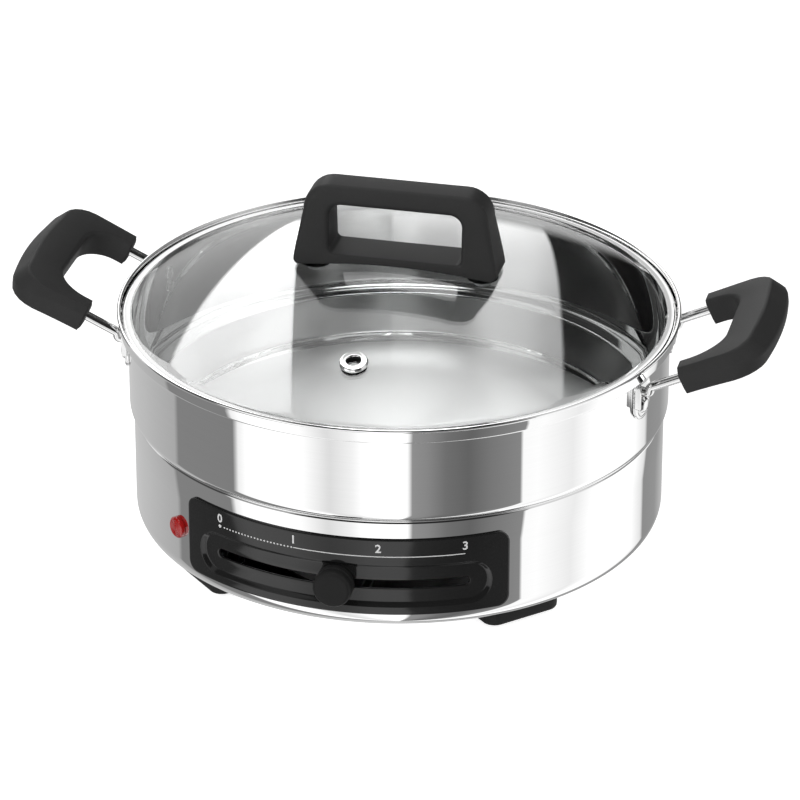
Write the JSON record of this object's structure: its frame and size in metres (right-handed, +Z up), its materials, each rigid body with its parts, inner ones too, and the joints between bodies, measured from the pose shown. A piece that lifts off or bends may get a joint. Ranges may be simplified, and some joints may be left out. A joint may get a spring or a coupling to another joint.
{
  "type": "electric cooking pot",
  "caption": "Round polished steel electric pot on a heated base, with a lift-off domed glass lid, sloping side handles, a curved black panel and a sliding heat control.",
  "frame": {"origin": "on the table under the pot's axis, at the middle of the bounding box", "axes": "+X to the right through a side handle, -Y towards the front with the control panel, +Z up"},
  "size_m": [0.4034, 0.2976, 0.1982],
  "materials": {
    "polished_steel": "mirror polished stainless sheet",
    "wire_steel": "bright polished stainless",
    "fasteners": "zinc plated",
    "spreader_aluminium": "cast, matte",
    "element_sheath": "dull grey sheath",
    "thermostat_ceramic": "matte",
    "contact_brass": "plain",
    "live_insulation": "smooth",
    "neutral_insulation": "smooth",
    "earth_insulation": "smooth",
    "lamp_insulation": "smooth",
    "panel_black": "gloss",
    "knob_black": "semi-gloss",
    "lens_red": "gloss",
    "lamp_glass": "clear",
    "inlet_black": "matte",
    "foot_black": "satin",
    "pad_rubber": "matte",
    "grip_black": "satin",
    "lid_glass": "clear",
    "gasket_rubber": "matte"
  },
  "bodies": {
    "cooker": {"pot_body": "polished_steel", "heat_spreader": "spreader_aluminium", "heating_element": "element_sheath", "element_clamps": "fasteners", "clamp_screws": "fasteners", "thermostat": "thermostat_ceramic", "thermostat_terminals": "contact_brass", "thermostat_bracket": "fasteners", "thermostat_screws": "fasteners", "thermal_fuse": "fasteners", "fuse_clip": "fasteners", "earth_screw": "contact_brass", "live_lead": "live_insulation", "neutral_lead": "neutral_insulation", "fuse_lead": "neutral_insulation", "switch_lead": "live_insulation", "earth_lead": "earth_insulation", "lamp_leads": "lamp_insulation", "base_shell": "polished_steel", "control_panel": "panel_black", "panel_push_nuts": "fasteners", "indicator_lens": "lens_red", "neon_lamp": "lamp_glass", "lens_push_nut": "fasteners", "power_inlet": "inlet_black", "inlet_pins": "contact_brass", "inlet_screws": "fasteners", "standoff_studs": "fasteners", "stud_nuts": "fasteners", "foot_front_left": "foot_black", "foot_front_right": "foot_black", "foot_rear_right": "foot_black", "foot_rear_left": "foot_black", "pad_front_left": "pad_rubber", "pad_front_right": "pad_rubber", "pad_rear_right": "pad_rubber", "pad_rear_left": "pad_rubber", "foot_screws": "fasteners", "handle_wire_right": "wire_steel", "handle_wire_left": "wire_steel", "handle_grip_right": "grip_black", "handle_grip_left": "grip_black", "plate_right_front": "wire_steel", "plate_right_rear": "wire_steel", "plate_left_rear": "wire_steel", "plate_left_front": "wire_steel", "handle_rivets": "wire_steel"},
    "lid": {"lid_glass": "lid_glass", "lid_ring": "wire_steel", "lid_handle": "grip_black", "lid_screws": "fasteners", "lid_gaskets": "gasket_rubber", "steam_vent": "wire_steel"},
    "control": {"thermostat_spindle": "fasteners", "control_lever": "fasteners", "spindle_nut": "fasteners", "slider_knob": "knob_black"}
  },
  "joints": [
    {"name": "lid_lift", "type": "slide", "parent": "cooker", "child": "lid", "axis": [0, 0, 1], "range_m": [0, 0.1]},
    {"name": "heat_slide", "type": "hinge", "parent": "cooker", "child": "control", "pos_m": [0, 0, 0.0185], "axis": [0, 0, 1], "range_deg": [-27, 27]}
  ]
}
